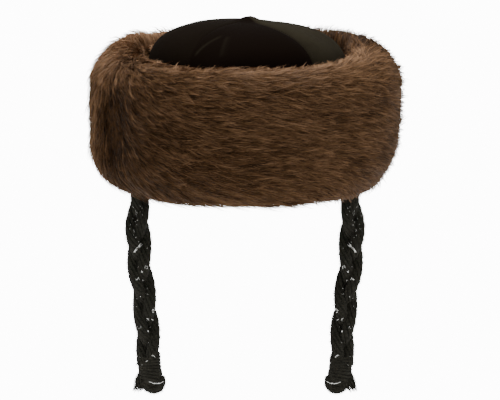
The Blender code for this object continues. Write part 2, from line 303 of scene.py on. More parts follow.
def make_cap():
    rise = (math.pi / 2) * (1.0 - (1.0 - np.arange(DOME_RINGS + 1) / DOME_RINGS) ** 1.2)
    reach = SPIN_RADIUS * np.cos(rise).clip(0.0) ** (2 / DOME_FULLNESS)
    reach[-1] = 0.0
    height = DOME_FOOT + DOME_HEIGHT * np.sin(rise) ** (2 / DOME_FULLNESS)
    form = bmesh.new()
    line = [(SPIN_RADIUS, h) for h in WALL_HEIGHTS] + list(zip(reach.tolist(), height.tolist()))
    spin_line(form, line, 4 * GORE_COLUMNS)
    places = places_of(form)
    reach = np.hypot(places[:, 0], places[:, 1]) / SPIN_RADIUS
    above = (places[:, 2] - DOME_FOOT).clip(0.0) / DOME_HEIGHT
    degrees, quarter, across = gore_turn(np.arctan2(places[:, 1], places[:, 0]) % math.tau)
    turn = np.radians(degrees)
    edge_x, edge_y = oval(turn, CAP_WALL)
    edge = np.hypot(edge_x, edge_y)
    rise = np.where(above > 0.0, np.arctan2(above ** (DOME_FULLNESS / 2), reach ** (DOME_FULLNESS / 2)), 0.0)
    share = rise / (math.pi / 2)
    near_top = np.exp(-((edge_x * reach - PUCKER_SHIFT) ** 2 + (edge_y * reach) ** 2) / PUCKER_RADIUS**2)
    dent = np.where(above > 0.0, cap_dent(degrees, share, across, edge * reach), 0.0) * (1.0 - 0.9 * near_top)
    crease = crease_mask(edge_x * reach, edge_y * reach)
    dent += CREASE_DEPTH * crease
    gather = PUCKER_GATHER * np.cos(9.0 * turn) * near_top * (edge * reach / PUCKER_RADIUS).clip(0.0, 1.0)
    pull = reach * (1.0 - dent * np.cos(rise) / edge)
    up = places[:, 2] - dent * np.sin(rise) + PUCKER_HEIGHT * near_top + gather
    up -= DOME_LEAN * edge_x * pull * np.sin(rise)
    put_places(form, np.stack([edge_x * pull, edge_y * pull, up], axis=1))
    cap = piece_from_bmesh("velvet_cap", form, velvet_material())
    # Painted light on the velvet: each gore's painted sheen, painted shade just past each seam, and a painted
    # highlight along the creases
    gore_lights = np.array([seam[2] for seam in SEAMS])[quarter]
    shaded_by_seam = np.where(across < 0.5, 1.0 - 0.35 * np.exp(-((across / 0.05) ** 2)), 1.0)
    painted_gore_light = cap.data.attributes.new("painted_gore_light", "FLOAT", "POINT")
    painted_gore_light.data.foreach_set("value", (gore_lights * shaded_by_seam + 0.5 * crease).clip(0.0, 1.0).astype(np.float32))
    wall = cap.modifiers.new("velvet_thickness", "SOLIDIFY")
    wall.thickness = CAP_WALL
    wall.offset = -1.0
    return cap


cap = make_cap()
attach(cap, "root")
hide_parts("crown")


# Fur band: hide and filling
# A padded ring is sewn inside a hide of brown fur and fits closely round the cap. This piece is the hide
# at the roots of the fur, with the soft lumps that its filling gives it.
BAND_THICKNESS = 0.045
BAND_HEIGHT = 0.119
BAND_GAP = 0.0003
BAND_CORNERS = (
    # round as a share of the thickness, on the outside, at the top, first angle, last angle
    (0.31, False, True, 180, 90),
    (0.66, True, True, 90, 0),
    (0.82, True, False, 0, -90),
    (0.09, False, False, -90, -180),
)
CORNER_STEPS = 16
HIDE_COLUMNS = 128
HIDE_STEPS = 48
HIDE_DEPTH = 0.0026
HIDE_EDGE = 0.012
LUMPS = (
    # waves round the band, waves down it, phase, share
    (7, 2.0, 0.4, 0.35),
    (11, -3.0, 2.1, 0.30),
    (17, 3.5, 4.0, 0.20),
    (5, 1.0, 5.2, 0.15),
)
SETTLED = (
    # degrees round the band, distance down the section, half width in degrees, half width, how far it has sunk
    (268.0, 0.024, 46.0, 0.024, 0.0106),
    (245.0, 0.024, 11.0, 0.020, 0.0066),
    (224.0, 0.022, 16.0, 0.020, 0.0052),
    (203.0, 0.022, 10.0, 0.018, 0.0030),
    (314.0, 0.022, 26.0, 0.022, 0.0076),
    (344.0, 0.022, 15.0, 0.020, 0.0044),
    (186.0, 0.055, 36.0, 0.025, 0.0050),
    (200.0, 0.160, 26.0, 0.018, 0.0014),
    (350.0, 0.050, 32.0, 0.020, 0.0028),
    (2.0, 0.098, 34.0, 0.030, 0.0012),
    (350.0, 0.134, 40.0, 0.024, 0.0046),
    (345.0, 0.172, 34.0, 0.016, -0.0014),
    (190.0, 0.125, 40.0, 0.030, 0.0022),
    (276.0, 0.168, 60.0, 0.028, -0.0006),
    (90.0, 0.036, 66.0, 0.024, 0.0036),
    (144.0, 0.040, 20.0, 0.024, 0.0012),
    (0.0, 0.150, 26.0, 0.016, 0.0022),
)


def band_section():
    """The band's outline from the inner top edge over the outside to the foot: distance, place and slope."""
    dots = []
    for share, outside, top, first, last in BAND_CORNERS:
        radius = share * BAND_THICKNESS
        out = BAND_THICKNESS - radius if outside else radius
        up = BAND_HEIGHT - radius if top else radius
        turns = np.radians(np.linspace(first, last, CORNER_STEPS))
        dots.append(np.stack([out + radius * np.cos(turns), up + radius * np.sin(turns)], axis=1))
    dots = np.concatenate(dots)
    at = np.concatenate([[0.0], np.cumsum(np.linalg.norm(np.diff(dots, axis=0), axis=1))])
    even = np.linspace(0.0, at[-1], 400)
    out, up = np.interp(even, at, dots[:, 0]), np.interp(even, at, dots[:, 1])
    slope = np.arctan2(np.gradient(up, even), np.gradient(out, even))
    slope = np.convolve(np.pad(np.unwrap(slope), 8, mode="edge"), np.ones(17) / 17, mode="valid")
    return even, out, up, slope


SKIN_AT, SKIN_OUT, SKIN_UP, SKIN_SLOPE = band_section()
SKIN_LENGTH = SKIN_AT[-1]
SKIN_BEND = np.abs(np.gradient(SKIN_SLOPE, SKIN_AT))


def lumps(turn, down):
    """Soft unevenness of the filling, about -1 to 1."""
    total = np.zeros(np.broadcast(turn, down).shape)
    for rounds, rows, phase, share in LUMPS:
        total += share * np.sin(rounds * turn + math.tau * rows * down / SKIN_LENGTH + phase)
    return total


def settled(turn, down):
    """How far wear has pressed the padding in. It is nothing at the edges that meet the cap."""
    sunk = np.zeros(np.broadcast(turn, down).shape)
    for degrees, at, half_angle, half_width, depth in SETTLED:
        sideways = angle_between(np.degrees(turn), degrees) / half_angle
        sunk += depth * np.exp(-(sideways**2) - ((down - at) / half_width) ** 2)
    edge = np.minimum(down, SKIN_LENGTH - down).clip(0.0, 0.010) / 0.010
    return sunk * edge


def fur_place(turn, down, lift):
    """A place on the fur side of the band, lift metres off it. down is the distance down the section."""
    lift = lift - settled(turn, down)
    slope = np.interp(down, SKIN_AT, SKIN_SLOPE)
    out = np.interp(down, SKIN_AT, SKIN_OUT) - lift * np.sin(slope).clip(None, 0.35)
    up = np.interp(down, SKIN_AT, SKIN_UP) + lift * np.cos(slope)
    x, y = oval(turn, CAP_WALL + BAND_GAP + out)
    return np.stack([x, y, up], axis=-1)


def fur_colour_group():
    """Colour of the fur from its tone, dark to ginger, and its height from root to tip. Hide and hairs share it."""
    group = bpy.data.node_groups.new("fur_colour", "ShaderNodeTree")
    for name in ("Tone", "Height"):
        group.interface.new_socket(name, in_out="INPUT", socket_type="NodeSocketFloat")
    group.interface.new_socket("Colour", in_out="OUTPUT", socket_type="NodeSocketColor")
    nodes, links = group.nodes, group.links
    inner, outer = nodes.new("NodeGroupInput"), nodes.new("NodeGroupOutput")
    shades = []
    for stops in (
        ((0.0, (0.0090, 0.0039, 0.0011)), (0.5, (0.049, 0.0234, 0.0086)), (1.0, (0.138, 0.075, 0.0345))),
        ((0.0, (0.0200, 0.0090, 0.0030)), (0.5, (0.098, 0.0500, 0.0220)), (1.0, (0.262, 0.152, 0.0850))),
    ):
        ramp = nodes.new("ShaderNodeValToRGB")
        links.new(inner.outputs["Tone"], ramp.inputs["Fac"])
        marks = ramp.color_ramp.elements
        marks.new(stops[1][0])
        for mark, (at, colour) in zip(marks, stops):
            mark.position, mark.color = at, (*colour, 1.0)
        shades.append(ramp.outputs["Color"])
    body = map_range(nodes, links, inner.outputs["Height"], 0.02, 0.34)
    tip = map_range(nodes, links, inner.outputs["Height"], 0.55, 0.95)
    rooted = mix_colours(nodes, links, body, (0.0050, 0.0020, 0.0006), shades[0])
    links.new(mix_colours(nodes, links, tip, rooted, shades[1]), outer.inputs["Colour"])
    return group


fur_colour = fur_colour_group()


def hide_material():
    material = bpy.data.materials.new("brown_fur_hide")
    material.use_nodes = True
    nodes, links = material.node_tree.nodes, material.node_tree.links
    shader = nodes["Principled BSDF"]
    set_finish(shader, 0.8, 0.02)
    streaks, _ = object_noise(nodes, links, 240.0, 5.0, 0.7)
    colour = nodes.new("ShaderNodeGroup")
    colour.node_tree = fur_colour
    links.new(map_range(nodes, links, streaks, 0.3, 0.7, 0.1, 0.6), colour.inputs["Tone"])
    links.new(map_range(nodes, links, streaks, 0.3, 0.8, 0.05, 0.36), colour.inputs["Height"])
    links.new(colour.outputs["Colour"], shader.inputs["Base Color"])
    bumped(nodes, links, shader, streaks, 0.6, 0.002)
    return material


def make_hide():
    steps = np.arange(HIDE_STEPS) / HIDE_STEPS
    fur_side = [(SPIN_RADIUS, step * SKIN_LENGTH) for step in np.linspace(0.0, 1.0, HIDE_STEPS)]
    wall_side = [(SPIN_RADIUS, SKIN_LENGTH * (1.0 + step)) for step in (0.25, 0.5, 0.75)]
    form = bmesh.new()
    # The section is spun unrolled as a tall hoop, and each place is then laid on the oval ring
    spin_line(form, fur_side + wall_side, HIDE_COLUMNS)
    bottom = [e for e in form.edges if e.is_boundary]
    bmesh.ops.bridge_loops(form, edges=bottom)
    places = places_of(form)
    turn = np.arctan2(places[:, 1], places[:, 0])
    down = places[:, 2]
    near_edge = np.minimum(down, SKIN_LENGTH - down).clip(0.0, HIDE_EDGE) / HIDE_EDGE
    sunk = -HIDE_DEPTH * near_edge + 0.0011 * lumps(turn, down) * near_edge
    laid = fur_place(turn, down.clip(0.0, SKIN_LENGTH), sunk)
    back = ((down - SKIN_LENGTH) / SKIN_LENGTH).clip(0.0, 1.0)
    first, last = SKIN_UP[-1], SKIN_UP[0]
    wall_x, wall_y = oval(turn, CAP_WALL + BAND_GAP)
    wall = np.stack([wall_x, wall_y, first + (last - first) * back], axis=1)
    put_places(form, np.where((back > 0.0)[:, None], wall, laid))
    bmesh.ops.recalc_face_normals(form, faces=form.faces)
    return piece_from_bmesh("fur_hide", form, hide_material())


hide = make_hide()
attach(hide, "root")
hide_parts("fur_band")


# Fur
# The pile is dense and about 25 mm long, dark at the roots and ginger at the tips. It stands in small
# clumps combed round the band to the right, and falls straight down at the left behind a parting.
FUR_SEED = 11
CLUMPS = 14000
HAIRS_PER_CLUMP = 11
CLUMP_RADIUS = 0.0030
CLUMP_PULL = 0.24
HAIR_LENGTH = (0.017, 0.028)
HAIR_HALF_WIDTH = (0.00013, 0.00028)
HAIR_STATIONS = np.array([0.0, 0.34, 0.68, 1.0])
HAIR_TAPER = np.array([0.8, 1.0, 0.88, 0.0])
ROOT_LIFT = -0.0034
PILE_HEIGHT = 0.0054
GUARD_SHARE = 0.06
GUARD_LIFT = 0.0040
TUFT_SHARE = 0.07
TUFT_LIFT = (0.0010, 0.0040)
RIM_TUFT_SHARE = 0.24
PALE_SHARE = 0.09
STRAIGHTENING = 0.34
ROUND_BEND = 7.0
MOST_STRAIGHTENING = 0.0035
FUR_TOP_EDGE = 0.048
COMB = (
    # degrees round the band, degrees below straight round on the sides, and on top of the band
    (0, 8, 30),
    (20, 9, 56),
    (40, 8, 72),
    (90, 4, 82),
    (125, 10, 84),
    (146, 44, 80),
    (166, 80, 70),
    (192, 87, 50),
    (208, 78, 26),
    (214, 50, 14),
    (224, 30, 5),
    (238, 9, 0),
    (256, -2, -2),
    (276, 0, -3),
    (300, 8, -4),
    (325, 15, 4),
    (345, 15, 14),
    (360, 8, 30),
)
# Patches of painted light and shade in the fur's tone: a painted sheen right of the middle, painted shade at the left
# front, and the back evened out, lighter at the left and darker at the right where the lamp falls
PAINTED_LIGHT_AND_SHADE = (
    # degrees round the band, distance down the section, half width in degrees, half width, change of tone
    (234.0, 0.100, 22.0, 0.040, -0.08),
    (222.0, 0.046, 14.0, 0.018, -0.06),
    (292.0, 0.112, 22.0, 0.034, 0.08),
    (188.0, 0.110, 18.0, 0.060, 0.21),
    (154.0, 0.020, 26.0, 0.022, 0.18),
    (32.0, 0.018, 28.0, 0.020, -0.30),
    (14.0, 0.042, 24.0, 0.022, -0.20),
    (4.0, 0.014, 13.0, 0.015, -0.30),
    (350.0, 0.130, 16.0, 0.050, 0.04),
)
PARTING_TURN = 212.0
PARTING_DOWN = 0.092
PARTING_HALF_ANGLE = 8.0
PARTING_HALF_LENGTH = 0.034


def ease(low, high, at):
    share = ((at - low) / (high - low)).clip(0.0, 1.0)
    return share * share * (3.0 - 2.0 * share)


def comb_direction(turn, down):
    """Angle in radians between a hair and straight round the band, positive when it leans down the section."""
    degrees, sides, top = (np.array(column, float) for column in zip(*COMB))
    at = np.degrees(turn) % 360.0
    on_side, on_top = np.interp(at, degrees, sides), np.interp(at, degrees, top)
    lower = ease(FUR_TOP_EDGE - 0.022, FUR_TOP_EDGE + 0.012, down)
    wave = 3.0 * np.sin(4.0 * turn + 28.0 * down) + 2.5 * np.sin(9.0 * turn - 60.0 * down)
    return np.radians(on_top + (on_side - on_top) * lower + wave)


def parting(turn, down):
    """1 in the dark hollow where the fur parts at the left, fading out to 0."""
    sideways = angle_between(np.degrees(turn), PARTING_TURN) / PARTING_HALF_ANGLE
    upright = (down - PARTING_DOWN) / PARTING_HALF_LENGTH
    return np.exp(-(sideways**2) - upright**2)


def pace_round(turn, out):
    """Metres that a radian of turn covers on the oval, out metres outside the head opening."""
    pace = np.hypot(OPENING_HALF_WIDTH * np.sin(turn), OPENING_HALF_DEPTH * np.cos(turn))
    return pace + out * OPENING_HALF_WIDTH * OPENING_HALF_DEPTH / pace**2


def comb_out(turn, down, length, lean, curl):
    """Walks each hair over the band from its root. Gives turn and distance down at each station."""
    turns, downs = [turn], [down]
    for k in range(1, len(HAIR_STATIONS)):
        step = length * (HAIR_STATIONS[k] - HAIR_STATIONS[k - 1])
        out = CAP_WALL + np.interp(downs[-1], SKIN_AT, SKIN_OUT)
        angle = comb_direction(turns[-1], downs[-1]) + lean + curl * HAIR_STATIONS[k]
        turns.append(turns[-1] + step * np.cos(angle) / pace_round(turns[-1], out))
        downs.append((downs[-1] + step * np.sin(angle)).clip(0.001, SKIN_LENGTH - 0.001))
    return np.stack(turns, axis=1), np.stack(downs, axis=1)


def strip_arrays(spine, across):
    """Vertices and faces of many narrow pointed strips, from their lines and half widths."""
    count, stations, _ = spine.shape
    pairs = np.stack([spine[:, :-1] - across[:, :-1], spine[:, :-1] + across[:, :-1]], axis=2)
    dots = np.concatenate([pairs.reshape(count, -1, 3), spine[:, -1:]], axis=1)
    corners = []
    for k in range(stations - 2):
        corners += [2 * k, 2 * k + 1, 2 * k + 3, 2 * k + 2]
    corners += [2 * stations - 4, 2 * stations - 3, 2 * stations - 2]
    sizes = [4] * (stations - 2) + [3]
    each = dots.shape[1]
    loops = np.arange(count)[:, None] * each + np.array(corners)[None]
    return dots.reshape(-1, 3), loops.ravel(), np.tile(sizes, count)


def mesh_from_arrays(name, dots, loops, sizes, material):
    mesh = bpy.data.meshes.new(name)
    mesh.vertices.add(len(dots))
    mesh.vertices.foreach_set("co", dots.astype(np.float32).ravel())
    mesh.loops.add(len(loops))
    mesh.loops.foreach_set("vertex_index", loops.astype(np.int32))
    mesh.polygons.add(len(sizes))
    mesh.polygons.foreach_set("loop_start", (np.cumsum(sizes) - sizes).astype(np.int32))
    mesh.update(calc_edges=True)
    mesh.polygons.foreach_set("use_smooth", np.ones(len(sizes), bool))
    mesh.materials.append(material)
    piece = bpy.data.objects.new(name, mesh)
    bpy.context.collection.objects.link(piece)
    return piece


def strips_along(spine, normal, half_width, twist):
    """Half-width vectors of strips that lie on a surface, each rolled by its twist."""
    ahead = np.gradient(spine, axis=1)
    ahead /= np.linalg.norm(ahead, axis=2, keepdims=True).clip(1e-9)
    side = np.cross(ahead, normal)
    side /= np.linalg.norm(side, axis=2, keepdims=True).clip(1e-9)
    face = np.cross(side, ahead)
    rolled = side * np.cos(twist)[:, None, None] + face * np.sin(twist)[:, None, None]
    return rolled * half_width[..., None]


def hair_material():
    """The fur: its colour comes from the hairs' own map, tone across and root to tip up."""
    material = bpy.data.materials.new("brown_fur")
    material.use_nodes = True
    nodes, links = material.node_tree.nodes, material.node_tree.links
    shader = nodes["Principled BSDF"]
    set_finish(shader, 0.50, 0.045)
    uv = nodes.new("ShaderNodeUVMap")
    uv.uv_map = "OFBake"
    parts = nodes.new("ShaderNodeSeparateXYZ")
    links.new(uv.outputs["UV"], parts.inputs[0])
    colour = nodes.new("ShaderNodeGroup")
    colour.node_tree = fur_colour
    links.new(parts.outputs["X"], colour.inputs["Tone"])
    links.new(parts.outputs["Y"], colour.inputs["Height"])
    links.new(colour.outputs["Colour"], shader.inputs["Base Color"])
    return material


def grow_fur():
    """Spines, half widths, tones and heights at the root of all hairs, and the panel that each belongs to."""
    chance = np.random.default_rng(FUR_SEED)
    k = np.arange(CLUMPS)
    turn = math.tau * ((0.5 + k * 0.7548776662466927) % 1.0)
    down = 0.006 + (SKIN_LENGTH - 0.028) * ((0.5 + k * 0.5698402909980532) % 1.0)
    lean = chance.normal(0.0, math.radians(6.5), CLUMPS)
    curl = chance.normal(math.radians(3.0), math.radians(8.0), CLUMPS)
    steady = 1.0 - 0.6 * ease(-0.45, 0.0, np.sin(turn)) * (1.0 - ease(0.040, 0.060, down))
    lean, curl = lean * steady, curl * steady
    length = chance.uniform(*HAIR_LENGTH, CLUMPS)
    # Beside the cap some clumps lean over the velvet, and round the back the top of the pile stands up
    at_back = ease(-0.30, 0.35, np.sin(turn)) * (1.0 - ease(0.045, 0.068, down))
    inward = (down < 0.022 - 0.012 * at_back) & (chance.random(CLUMPS) < 0.30 - 0.05 * at_back)
    lean = np.where(inward, lean - np.radians(chance.uniform(20.0, 75.0, CLUMPS) + 80.0 * at_back), lean)
    length = np.where(inward, length * 0.55, length)
    length = length * (1.0 - 0.28 * at_back)
    # A few clumps draw to a point that stands off the pile, more of them where the fur meets the velvet
    tufted = chance.random(CLUMPS) < TUFT_SHARE * (1.0 + 1.6 * np.cos(turn).clip(0.0)) * (1.0 - at_back)
    flare = chance.uniform(*TUFT_LIFT, CLUMPS) * tufted * (down < 0.155)
    at_rim = (np.abs(down - 0.020) < 0.010) & (np.sin(turn) < 0.2) & (chance.random(CLUMPS) < RIM_TUFT_SHARE)
    lean = np.where(at_rim, lean - np.radians(chance.uniform(18.0, 70.0, CLUMPS)), lean)
    length = np.where(at_rim, length * 0.66, length)
    flare = np.where(at_rim, chance.uniform(0.0010, 0.0036, CLUMPS), flare)
    clump_turn, clump_down = comb_out(turn, down, length, lean, curl)
    falls = np.exp(-((angle_between(np.degrees(turn), 196.0) / 26.0) ** 2))
    tone = 0.46 + chance.normal(0.0, 0.060, CLUMPS) * (1.0 + 2.2 * falls) + 0.11 * lumps(turn, 2.0 * down)
    # Painted light in the tone: lighter tips on the rim tufts, lighter falls at the left, and the back lighter at the
    # left, in shade, and darker at the right, where the lamp falls
    tone += 0.28 * at_rim + at_back * (0.03 - 0.32 * np.cos(turn)) + 0.05 * falls
    for degrees, at, half_angle, half_width, change in PAINTED_LIGHT_AND_SHADE:
        sideways = angle_between(np.degrees(turn), degrees) / half_angle
        tone += change * np.exp(-(sideways**2) - ((down - at) / half_width) ** 2)
    # Painted shade in a band low on the front, and painted light along its lower edge
    tone -= (0.07 * ease(0.095, 0.120, down) - 0.11 * ease(0.138, 0.160, down)) * (-np.sin(turn)).clip(0.0)
    height = PILE_HEIGHT * (1.0 + 0.22 * lumps(turn, down) + chance.normal(0.0, 0.10, CLUMPS))
    owner = np.repeat(k, HAIRS_PER_CLUMP)
    count = len(owner)
    offset = CLUMP_RADIUS * np.sqrt(chance.random(count))
    bearing = math.tau * chance.random(count)
    out = CAP_WALL + np.interp(down[owner], SKIN_AT, SKIN_OUT)
    root_turn = turn[owner] + offset * np.cos(bearing) / pace_round(turn[owner], out)
    root_down = (down[owner] + offset * np.sin(bearing)).clip(0.003, SKIN_LENGTH - 0.002)
    hair_length = length[owner] * chance.uniform(0.72, 1.10, count)
    hair_lean = lean[owner] + chance.normal(0.0, math.radians(4.5), count) * steady[owner]
    hair_curl = curl[owner] + chance.normal(0.0, math.radians(6.0), count)
    own_turn, own_down = comb_out(root_turn, root_down, hair_length, hair_lean, hair_curl)
    pull = np.where(flare > 0.0, np.where(at_rim, 0.55, 0.92), CLUMP_PULL * chance.uniform(0.45, 1.0, CLUMPS))
    pull = pull[owner][:, None] * HAIR_STATIONS[None] ** 1.3
    hair_turn = own_turn + (clump_turn[owner] - own_turn) * pull
    hair_down = own_down + (clump_down[owner] - own_down) * pull
    hollow = parting(root_turn, root_down)
    low_front = (1.0 - at_back[owner]) * (1.0 - ease(0.020, 0.050, root_down))
    reach = height[owner] * chance.uniform(0.70, 1.12, count) * (1.0 - 0.65 * hollow)
    reach = reach * (1.0 + 0.7 * at_back[owner] * chance.random(count) - 0.35 * low_front)
    reach = reach * (1.0 + 0.2 * at_back[owner] * (1.0 - ease(0.012, 0.024, root_down)))
    guard = chance.random(count) < GUARD_SHARE * (1.0 + 2.5 * at_back[owner])
    reach = reach + np.where(guard, GUARD_LIFT * chance.uniform(0.3, 1.0, count), 0.0)
    grown = 1.0 - (1.0 - HAIR_STATIONS[None]) ** 1.8
    run = hair_length[:, None] * HAIR_STATIONS[None]
    angle = comb_direction(hair_turn, hair_down)
    bend = STRAIGHTENING * np.interp(hair_down, SKIN_AT, SKIN_BEND) * np.sin(angle) ** 2
    facing_out = (-np.sin(np.interp(hair_down, SKIN_AT, SKIN_SLOPE))).clip(0.0)
    stiff = (bend + ROUND_BEND * facing_out * np.cos(angle) ** 2) * run**2 / 2.0
    lift = ROOT_LIFT + reach[:, None] * grown + MOST_STRAIGHTENING * np.tanh(stiff / MOST_STRAIGHTENING)
    lift += flare[owner][:, None] * HAIR_STATIONS[None] ** 1.6 - 0.0030 * hollow[:, None]
    spine = fur_place(hair_turn, hair_down, lift)
    normal = fur_place(hair_turn, hair_down, lift + 0.001) - spine
    width = chance.uniform(*HAIR_HALF_WIDTH, count) * (1.0 + 0.5 * at_back[owner])
    width = width[:, None] * HAIR_TAPER[None]
    across = strips_along(spine, normal, width, chance.normal(0.0, 0.55, count))
    # The top of the band is painted lighter, as light falling from above
    on_top = 1.0 - ease(FUR_TOP_EDGE - 0.015, FUR_TOP_EDGE + 0.010, root_down)
    # A share of pale hairs, lighter than the rest, which also serve as painted glints on the fur
    pale = 0.45 * (chance.random(count) < PALE_SHARE) * (1.0 - hollow)
    # In the parting the hairs are painted darker: partly their dark roots, partly painted shade in the hollow
    hair_tone = tone[owner] + chance.normal(0.0, 0.22, count) * (1.0 - 0.25 * on_top) + pale * (1.0 - 0.4 * on_top) + 0.17 * on_top - 0.78 * hollow
    panel = np.where(down[owner] < FUR_TOP_EDGE, 4, (turn[owner] / (math.tau / 4)).astype(int) % 4)
    # Painted light and shade at the back: the hairs show less dark root on the left, in shade, and more on the right,
    # where the lamp falls
    root_height = 0.02 + at_back[owner] * (0.50 - 0.28 * np.cos(turn[owner]))
    return spine, across, hair_tone.clip(0.02, 0.98), root_height, panel


FUR_PANELS = ("fur_back_right", "fur_back_left", "fur_front_left", "fur_front_right", "fur_top")
spine, across, hair_tone, root_height, panel = grow_fur()
brown_fur = hair_material()
for number, name in enumerate(FUR_PANELS):
    mine = panel == number
    dots, loops, sizes = strip_arrays(spine[mine], across[mine])
    fur = mesh_from_arrays(name, dots, loops, sizes, brown_fur)
    steps = np.repeat(HAIR_STATIONS, 2)[:-1]
    side = 0.008 * np.where(np.arange(len(steps)) % 2, 1.0, -1.0)
    side[-1] = 0.0
    u = 0.02 + 0.96 * hair_tone[mine][:, None] + side[None]
    v = root_height[mine][:, None] + (0.98 - root_height[mine][:, None]) * steps[None]
    flat = np.stack([u, v], axis=2).reshape(-1, 2)
    layer = fur.data.uv_layers.new(name="OFBake")
    layer.data.foreach_set("uv", flat[loops].astype(np.float32).ravel())
    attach(fur, "root")


# Plaits
# Each side lock is a plait of three strands of matte black yarn, sewn under the band beside the head and
# hanging free. A strand is seven soft threads laid round each other, with short fuzz all over.
PLAIT_LENGTH = 0.187
PLAIT_END_LENGTH = 0.027
LEAN_UNIT = 0.0063
WEAVE_REACH = 0.0056
WEAVE_DEPTH = 0.0050
PLAIT_PITCH = 0.115
PLAIT_FIRST_LOBE = 0.0735
PLAIT_OUTSET = 0.0043
SEWN_LENGTH = 0.006
TABLE_BLUR = 0.06
THREADS = 7
THREAD_RADIUS = 0.00162
THREAD_RING = (0.0037, 0.0031)
THREAD_TWIST = 0.050
THREAD_SIDES = 7
THREAD_STATIONS = 84
FUZZ_LENGTH = (0.0012, 0.0029)
FUZZ_HALF_WIDTH = 0.00010
FUZZ_HAIRS = 10800
PLAIT_LEAN = (
    # share of the plait's length, shift towards the middle in weave reaches
    (0.00, 0.00),
    (0.22, -0.30),
    (0.38, -0.12),
    (0.57, 0.66),
    (0.78, 1.00),
    (1.00, 1.50),
)
PLAIT_FULLNESS = (
    # share of the plait's length, how full it is
    (0.00, 0.66),
    (0.08, 0.78),
    (0.16, 1.04),
    (0.28, 1.06),
    (0.42, 1.02),
    (0.80, 1.04),
    (0.88, 0.98),
)
# Pale flecks on the yarn are painted glints: painted highlights where the plaits catch the light
PAINTED_GLINTS = (
    # distance from the hat's middle, height, half width and half height of the patch, how many flecks,
    # their length and half width, degrees that they lean towards the hat
    (0.0943, -0.0575, 0.0, 0.0, 1, 0.0040, 0.00046, 36.0),
    (0.0934, -0.0566, 0.0008, 0.0006, 3, 0.0060, 0.00010, 36.0),
    (0.0907, -0.0528, 0.0, 0.0, 1, 0.0062, 0.00011, 38.0),
    (0.0900, -0.0530, 0.0012, 0.0014, 4, 0.0026, 0.00010, 40.0),
    (0.0851, -0.0714, 0.0014, 0.0026, 7, 0.0014, 0.00012, 20.0),
    (0.0890, -0.0760, 0.0002, 0.0002, 1, 0.0022, 0.00026, -30.0),
    (0.0883, -0.0763, 0.0002, 0.0002, 1, 0.0020, 0.00022, 60.0),
    (0.0925, -0.0820, 0.0014, 0.0014, 7, 0.0010, 0.00016, 0.0),
    (0.0879, -0.0840, 0.0008, 0.0008, 3, 0.0010, 0.00014, 0.0),
    (0.0784, -0.1104, 0.0020, 0.0022, 11, 0.0015, 0.00016, -50.0),
    (0.0842, -0.1179, 0.0, 0.0, 1, 0.0022, 0.00026, -65.0),
    (0.0803, -0.1192, 0.0, 0.0, 1, 0.0022, 0.00026, -65.0),
    (0.0900, -0.1247, 0.0001, 0.0001, 2, 0.0021, 0.00050, -20.0),
    (0.0840, -0.1291, 0.0001, 0.0001, 1, 0.0016, 0.00040, 0.0),
    (0.0803, -0.1508, 0.0020, 0.0010, 5, 0.0020, 0.00014, -55.0),
    (0.0851, -0.1556, 0.0, 0.0, 1, 0.0022, 0.00022, 50.0),
    (0.0960, -0.0330, 0.0040, 0.0110, 15, 0.0010, 0.00009, 0.0),
    (0.0920, -0.0215, 0.0046, 0.0050, 8, 0.0010, 0.00008, 20.0),
    (0.0880, -0.1000, 0.0060, 0.0600, 22, 0.0009, 0.00009, 20.0),
)


def smooth_read(table, at):
    places, values = zip(*table)
    nearby = np.asarray(at)[..., None] + np.linspace(-TABLE_BLUR, TABLE_BLUR, 5)
    return np.interp(nearby, places, values).mean(axis=-1)


def plait_middle(side, down):
    """The plait's middle line, from its top under the band."""
    down = np.asarray(down, float)
    top = OPENING_HALF_WIDTH + CAP_WALL + BAND_GAP + PLAIT_OUTSET
    x = side * (top - smooth_read(PLAIT_LEAN, down / PLAIT_LENGTH) * LEAN_UNIT)
    return np.stack([x, np.zeros_like(x), -BAND_GAP - down], axis=-1)


def strand_middle(side, number, down):
    woven = np.clip(down, SEWN_LENGTH, PLAIT_LENGTH - PLAIT_END_LENGTH - SEWN_LENGTH)
    turn = math.tau * ((woven - PLAIT_FIRST_LOBE) / PLAIT_PITCH + number / 3.0) + math.pi / 2
    full = smooth_read(PLAIT_FULLNESS, woven / PLAIT_LENGTH)
    place = plait_middle(side, woven)
    place[..., 0] += side * full * WEAVE_REACH * np.sin(turn)
    place[..., 1] += full * WEAVE_DEPTH * np.sin(2.0 * turn)
    place[..., 2] = plait_middle(side, down)[..., 2]
    return place, full


def yarn_form(stations, sides):
    """One straight thread, spun round its line and closed at both ends, as arrays to lay along many lines."""
    form = bmesh.new()
    heights = np.linspace(0.0, 1.0, stations)
    line = [(0.0, 0.0)] + [(1.0, h) for h in heights.tolist()] + [(0.0, 1.0)]
    spin_line(form, line, sides)
    form.verts.ensure_lookup_table()
    places = places_of(form)
    corners = [[v.index for v in f.verts] for f in form.faces]
    form.free()
    loops = np.array([index for face in corners for index in face])
    return places, loops, np.array([len(face) for face in corners])


def lay_threads(lines, radii, upright=(0.0, 1.0, 0.0)):
    """Lays a round thread along each line. upright is a direction that no line runs in."""
    count, stations, _ = lines.shape
    places, loops, sizes = yarn_form(stations, THREAD_SIDES)
    at = np.rint(places[:, 2] * (stations - 1)).astype(int)
    ahead = np.gradient(lines, axis=1)
    ahead /= np.linalg.norm(ahead, axis=2, keepdims=True)
    first = np.cross(ahead, np.array(upright))
    first /= np.linalg.norm(first, axis=2, keepdims=True)
    second = np.cross(ahead, first)
    spread = radii[:, at, None]
    dots = lines[:, at] + spread * (places[None, :, 0, None] * first[:, at] + places[None, :, 1, None] * second[:, at])
    shift = (np.arange(count) * len(places))[:, None]
    return dots.reshape(-1, 3), (loops[None] + shift).ravel(), np.tile(sizes, count)


